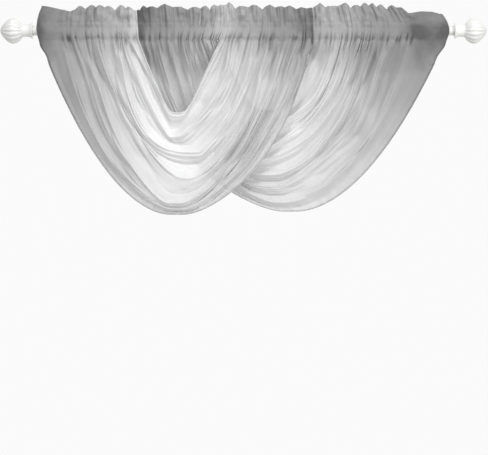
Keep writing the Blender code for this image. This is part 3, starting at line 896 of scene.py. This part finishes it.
def stitch_tree(thread):
    """Geometry nodes that lay a short, rounded stitch of thread at each pitch along an edge."""
    tree = bpy.data.node_groups.new("lockstitch", "GeometryNodeTree")
    sides = tree.interface
    sides.new_socket("Seam", in_out="INPUT", socket_type="NodeSocketGeometry")
    for label in ("Stitch Length", "Stitch Width", "Stitch Pitch"):
        sides.new_socket(label, in_out="INPUT", socket_type="NodeSocketFloat")
    sides.new_socket("Stitches", in_out="OUTPUT", socket_type="NodeSocketGeometry")
    given, made = tree.nodes.new("NodeGroupInput"), tree.nodes.new("NodeGroupOutput")
    link = tree.links.new
    line = tree.nodes.new("GeometryNodeMeshToCurve")
    link(given.outputs["Seam"], line.inputs["Mesh"])
    spots = tree.nodes.new("GeometryNodeCurveToPoints")
    spots.mode = "LENGTH"
    link(line.outputs["Curve"], spots.inputs["Curve"])
    link(given.outputs["Stitch Pitch"], spots.inputs["Length"])
    bead = tree.nodes.new("GeometryNodeMeshUVSphere")
    bead.inputs["Segments"].default_value = 6
    bead.inputs["Rings"].default_value = 4
    bead.inputs["Radius"].default_value = 0.5
    size = tree.nodes.new("ShaderNodeCombineXYZ")
    link(given.outputs["Stitch Length"], size.inputs["X"])
    link(given.outputs["Stitch Width"], size.inputs["Y"])
    link(given.outputs["Stitch Width"], size.inputs["Z"])
    aim = tree.nodes.new("FunctionNodeAlignRotationToVector")
    aim.axis = "X"
    link(spots.outputs["Tangent"], aim.inputs["Vector"])
    laid = tree.nodes.new("GeometryNodeInstanceOnPoints")
    link(spots.outputs["Points"], laid.inputs["Points"])
    link(bead.outputs["Mesh"], laid.inputs["Instance"])
    link(aim.outputs["Rotation"], laid.inputs["Rotation"])
    link(size.outputs["Vector"], laid.inputs["Scale"])
    real = tree.nodes.new("GeometryNodeRealizeInstances")
    link(laid.outputs["Instances"], real.inputs["Geometry"])
    smooth = tree.nodes.new("GeometryNodeSetShadeSmooth")
    link(real.outputs["Geometry"], smooth.inputs["Geometry"])
    spun = tree.nodes.new("GeometryNodeSetMaterial")
    spun.inputs["Material"].default_value = thread
    link(smooth.outputs["Geometry"], spun.inputs["Geometry"])
    link(spun.outputs["Geometry"], made.inputs["Stitches"])
    return tree


def stitched(name, lines, tree):
    """Rows of stitches along lines of points, each line with its places on the flat cut."""
    points, flats, edges, count = [], [], [], 0
    for line, flat in lines:
        points.append(line), flats.append(flat)
        edges += [(count + i, count + i + 1) for i in range(len(line) - 1)]
        count += len(line)
    mesh = bpy.data.meshes.new(name + "_line")
    mesh.from_pydata(np.concatenate(points).tolist(), edges, [])
    keep_cut(mesh, np.concatenate(flats))
    guide = placed(name + "_line", mesh)
    sewing = guide.modifiers.new("stitches", "NODES")
    sewing.node_group = tree
    sizes = {
        "Stitch Length": STITCH_LENGTH, "Stitch Width": STITCH_WIDTH, "Stitch Pitch": STITCH_PITCH,
    }
    for item in tree.interface.items_tree:
        if item.name in sizes and item.in_out == "INPUT":
            sewing[item.identifier] = sizes[item.name]
    shown = guide.evaluated_get(bpy.context.evaluated_depsgraph_get())
    result = bpy.data.meshes.new_from_object(shown)
    result.name = name
    bpy.data.objects.remove(guide)
    return placed(name, result)


def sew_swag(swag, node, materials):
    """The sheet of one swag with its two rolled hems and its lines of stitching."""
    last = len(swag.folds) - 1
    places = np.linspace(0, last, COLUMNS_PER_FOLD * last + 1)
    points, cut, seam_rows = swag_rows(swag, places)
    sheet = cloth_sheet(swag.name, points, cut)
    sheet.data.materials.append(materials["voile"])
    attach(sheet, "root")
    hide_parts(node)
    trims = []
    lines = [(points[row], cut[row]) for row in seam_rows]
    both = np.concatenate([points, cut], axis=2)
    for label, outermost in (("cowl", False), ("bottom", True)):
        hem = hem_band(f"{swag.name}_{label}_hem", both, outermost)
        hem.data.materials.append(materials["hem"])
        trims.append(hem)
        line = in_from_edge(both, outermost, [STITCHES_IN])[:, 0]
        lines.append((line[:, :3], line[:, 3:]))
    trims.append(stitched(f"{swag.name}_stitching", lines, materials["stitches"]))
    for trim in trims:
        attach(trim, "root")
    return sheet, trims


voile_finishes = {
    "voile": voile("grey ombre voile", 0.09),
    "hem": voile("grey ombre voile, rolled hem", 0.20),
    "stitches": stitch_tree(voile("grey ombre sewing thread", 0.0, 0.1)),
}
back_sheet, back_trims = sew_swag(BACK_SWAG, "back_swag", voile_finishes)


# ---- Front swag ----------------------------------------------------------------------------
# A second cut of the same voile, hung to the left of the first and in front of it. Its right
# pocket is threaded between the two pockets of the back swag.

FRONT_SWAG = Swag(
    name="front_voile_swag",
    left=Pocket(
        inner=PocketEnd(-0.2862, -0.2885, -0.2932),
        outer=PocketEnd(-0.561, -0.567, -0.555),
        flat_from=4.85,
        dye_full=1.0,
        dye_power=1.95,
        dye_fade=1.3,
        dye_top=0.94,
        crowded=0.35,
        ruffles=(
            Ruffle(-0.294, 0.055, 0.0, 0.001),
            Ruffle(-0.312, 0.065, 0.004, 0.004),
            Ruffle(-0.336, 0.070, 0.014, 0.005),
            Ruffle(-0.372, 0.067, 0.003, 0.004),
            Ruffle(-0.398, 0.070, 0.006, 0.005),
            Ruffle(-0.420, 0.070, 0.009, 0.005),
            Ruffle(-0.459, 0.068, 0.002, 0.004),
            Ruffle(-0.480, 0.053, 0.0, 0.001),
            Ruffle(-0.555, 0.068, 0.0, 0.0),
        ),
    ),
    right=Pocket(
        inner=PocketEnd(-0.0627, -0.0537, -0.0497),
        outer=PocketEnd(0.1907, 0.1907, 0.1877),
        flat_from=9.0,
        dye_full=1.0,
        dye_power=1.75,
        dye_fade=0.15,
        dye_top=0.94,
        crowded=0.35,
        ruffles=(
            Ruffle(-0.049, 0.070, 0.0, 0.0),
            Ruffle(-0.040, 0.078, 0.012, 0.004),
            Ruffle(-0.004, 0.067, 0.004, 0.005),
            Ruffle(0.030, 0.071, 0.012, 0.004),
            Ruffle(0.075, 0.070, 0.005, 0.005),
            Ruffle(0.104, 0.067, 0.004, 0.003),
            Ruffle(0.127, 0.068, 0.005, 0.005),
            Ruffle(0.165, 0.063, 0.001, 0.004),
            Ruffle(0.187, 0.063, 0.0, 0.001),
        ),
    ),
    folds=(
        Fold(-0.2862, -0.0627, -0.180, -0.2275, 1.15, 0.0, 1.0, 0.0),
        Fold(-0.323, -0.021, -0.194, -0.293, 1.1, 0.1, 1.5, 0.3),
        Fold(-0.345, 0.029, -0.132, -0.335, 2.6, 0.5, 1.2, 0.4),
        Fold(-0.400, 0.073, -0.155, -0.406, 1.5, 0.2, 1.4, 0.4),
        Fold(-0.436, 0.111, -0.192, -0.475, 1.7, 0.1, 1.7, 0.2),
        Fold(-0.499, 0.150, -0.178, -0.492, 1.8, 0.2, 1.6, 0.2),
        Fold(-0.561, 0.1907, -0.183, -0.506, 2.0, 0.0, 1.8, 0.3),
    ),
    belly=-0.0245,
    white_x=-0.188,
    seed=70,
)

front_sheet, front_trims = sew_swag(FRONT_SWAG, "front_swag", voile_finishes)


# ---- Finials -------------------------------------------------------------------------------
# Two cast resin balls with sixteen rounded lobes on a turned neck, enamelled like the rod. Each
# is pushed over a rod end, and closes the rod once the swags are threaded on.

FINIAL_LOBES = 16
FINIAL_TURNS = FINIAL_LOBES * 10
LOBE_DEPTH = 0.0023
SOCKET_RADIUS = 0.0131
SOCKET_FLOOR = 0.5924
FINIAL_RINGS = 72
LOBE_SHARPNESS = 0.9
LOBE_MOST = 0.28
EVEN_MOTTLE = (1.0, 1.0, 1.0)
# Rings of the profile from the tip to the rim: place along the rod, radius, share of lobe depth.
FINIAL_PROFILE = (
    (0.6690, 0.0000, 0.0), (0.6686, 0.0025, 0.2), (0.6674, 0.0062, 0.5), (0.6650, 0.0115, 0.8),
    (0.6605, 0.0176, 1.0), (0.6540, 0.0247, 1.0), (0.6460, 0.0313, 1.0), (0.6350, 0.0357, 1.0),
    (0.6240, 0.0335, 1.0), (0.6160, 0.0280, 1.0), (0.6110, 0.0222, 0.8), (0.6085, 0.0185, 0.3),
    (0.6060, 0.0172, 0.0), (0.5940, 0.0166, 0.0), (0.5860, 0.0186, 0.0), (0.5820, 0.0218, 0.0),
    (0.5800, 0.0223, 0.0),
)


def finial_rings():
    """The profile read smoothly, with each ring's cut between the lobes, then the blind socket."""
    profile = np.array(FINIAL_PROFILE)
    at = np.linspace(0, len(profile) - 1, FINIAL_RINGS)
    x, radius, share = (through_rows(column, at) for column in profile.T)
    turns = np.arange(FINIAL_TURNS) * 2 * np.pi / FINIAL_TURNS
    between = 1 - np.abs(np.cos(FINIAL_LOBES * turns / 2)) ** LOBE_SHARPNESS
    rings = [(x[0], 0.0, None)]
    for ring in range(1, FINIAL_RINGS):
        depth = min(LOBE_DEPTH, LOBE_MOST * radius[ring]) * np.clip(share[ring], 0, 1)
        rings.append((x[ring], radius[ring], depth * between))
    plain = np.zeros_like(turns)
    rings += [(0.5797, 0.0205, plain), (0.5797, 0.0138, plain), (0.5800, SOCKET_RADIUS, plain)]
    rings += [(SOCKET_FLOOR, SOCKET_RADIUS, plain), (SOCKET_FLOOR, 0.0, None)]
    return rings, between


finial_enamel = enamel("finial enamel", EVEN_MOTTLE)
for side, node in ((-1, "finial_left"), (1, "finial_right")):
    rings, between = finial_rings()
    ball = turned("fluted_" + node, rings, FINIAL_TURNS, side)
    # The grooves between the lobes, marked for the darker enamel: a dusty tone that is partly
    # painted shade.
    groove = ball.data.attributes.new("groove", "FLOAT", "POINT")
    dust_and_shade = []
    for x, radius, cut in rings:
        dust_and_shade += [0.0] if not radius else [float(c > 0) * float(b) for c, b in zip(cut, between)]
    groove.data.foreach_set("value", dust_and_shade)
    ball.data.materials.append(finial_enamel)
    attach(ball, "root")
    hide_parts(node)


# ---- Studio --------------------------------------------------------------------------------
# A pale round floor below, a soft pale surround, a large key light from the upper left, a fill
# from the right, a soft light behind the sheer cloth, and a level camera straight in front.

FRAME_WIDTH = 1.342
CAMERA_AT = (0.0014, -0.541)
LENS = 110.0
FLOOR_Z = -1.90
FLOOR_RADIUS = 4.6
FLOOR_PAINT = (0.82, 0.82, 0.81, 1)
SURROUND_LIGHT = 0.73
SURROUND_SEEN = 0.96
# Each light's name, place, the point that it is aimed at, its size and its power.
STUDIO_LIGHTS = (
    ("key_light", (-0.3, -2.45, 2.3), (0, 0, -0.2), 1.1, 80.0),
    ("fill_light", (2.3, -2.3, 0.2), (0, 0, -0.15), 2.0, 48.0),
    ("back_light", (0.3, 2.4, 0.5), (0, 0, -0.2), 2.4, 10.0),
)


def area_light(name, place, aim, size, power):
    """A round soft light that lights the valance and isn't seen itself."""
    light = bpy.data.lights.new(name, "AREA")
    light.shape = "DISK"
    light.size = size
    light.energy = power
    obj = placed(name, light)
    obj.location = place
    direction = np.array(aim) - np.array(place)
    level = math.hypot(direction[0], direction[1])
    obj.rotation_euler = (
        math.atan2(level, -direction[2]), 0, math.atan2(direction[1], direction[0]) - math.pi / 2
    )
    obj.visible_camera = False
    return obj


bpy.ops.mesh.primitive_circle_add(
    vertices=96, radius=FLOOR_RADIUS, fill_type="NGON", location=(0, 0, 0)
)
floor = bpy.context.object
floor.name = "studio_floor"
for vert in floor.data.vertices:
    vert.co.z = FLOOR_Z
floor_paint, _, floor_shader = new_material("pale studio floor")
floor_shader.inputs["Base Color"].default_value = FLOOR_PAINT
floor_shader.inputs["Roughness"].default_value = 0.9
floor.data.materials.append(floor_paint)

for light in STUDIO_LIGHTS:
    area_light(*light)

world = bpy.data.worlds.new("pale studio surround")
world.use_nodes = True
nodes, link = world.node_tree.nodes, world.node_tree.links.new
soft = nodes["Background"]
bright = nodes.new("ShaderNodeBackground")
for background, strength in ((soft, SURROUND_LIGHT), (bright, SURROUND_SEEN)):
    background.inputs["Color"].default_value = (1.0, 1.0, 1.0, 1)
    background.inputs["Strength"].default_value = strength
seen = nodes.new("ShaderNodeLightPath")
surround = nodes.new("ShaderNodeMixShader")
link(seen.outputs["Is Camera Ray"], surround.inputs["Fac"])
link(soft.outputs["Background"], surround.inputs[1])
link(bright.outputs["Background"], surround.inputs[2])
link(surround.outputs["Shader"], nodes["World Output"].inputs["Surface"])
bpy.context.scene.world = world
bpy.context.scene.view_settings.view_transform = "Standard"

lens = bpy.data.cameras.new("front_camera")
lens.lens = LENS
camera = placed("front_camera", lens)
camera.location = (CAMERA_AT[0], -FRAME_WIDTH * LENS / lens.sensor_width, CAMERA_AT[1])
camera.rotation_euler = (math.pi / 2, 0, 0)
bpy.context.scene.camera = camera

bpy.context.view_layer.update()
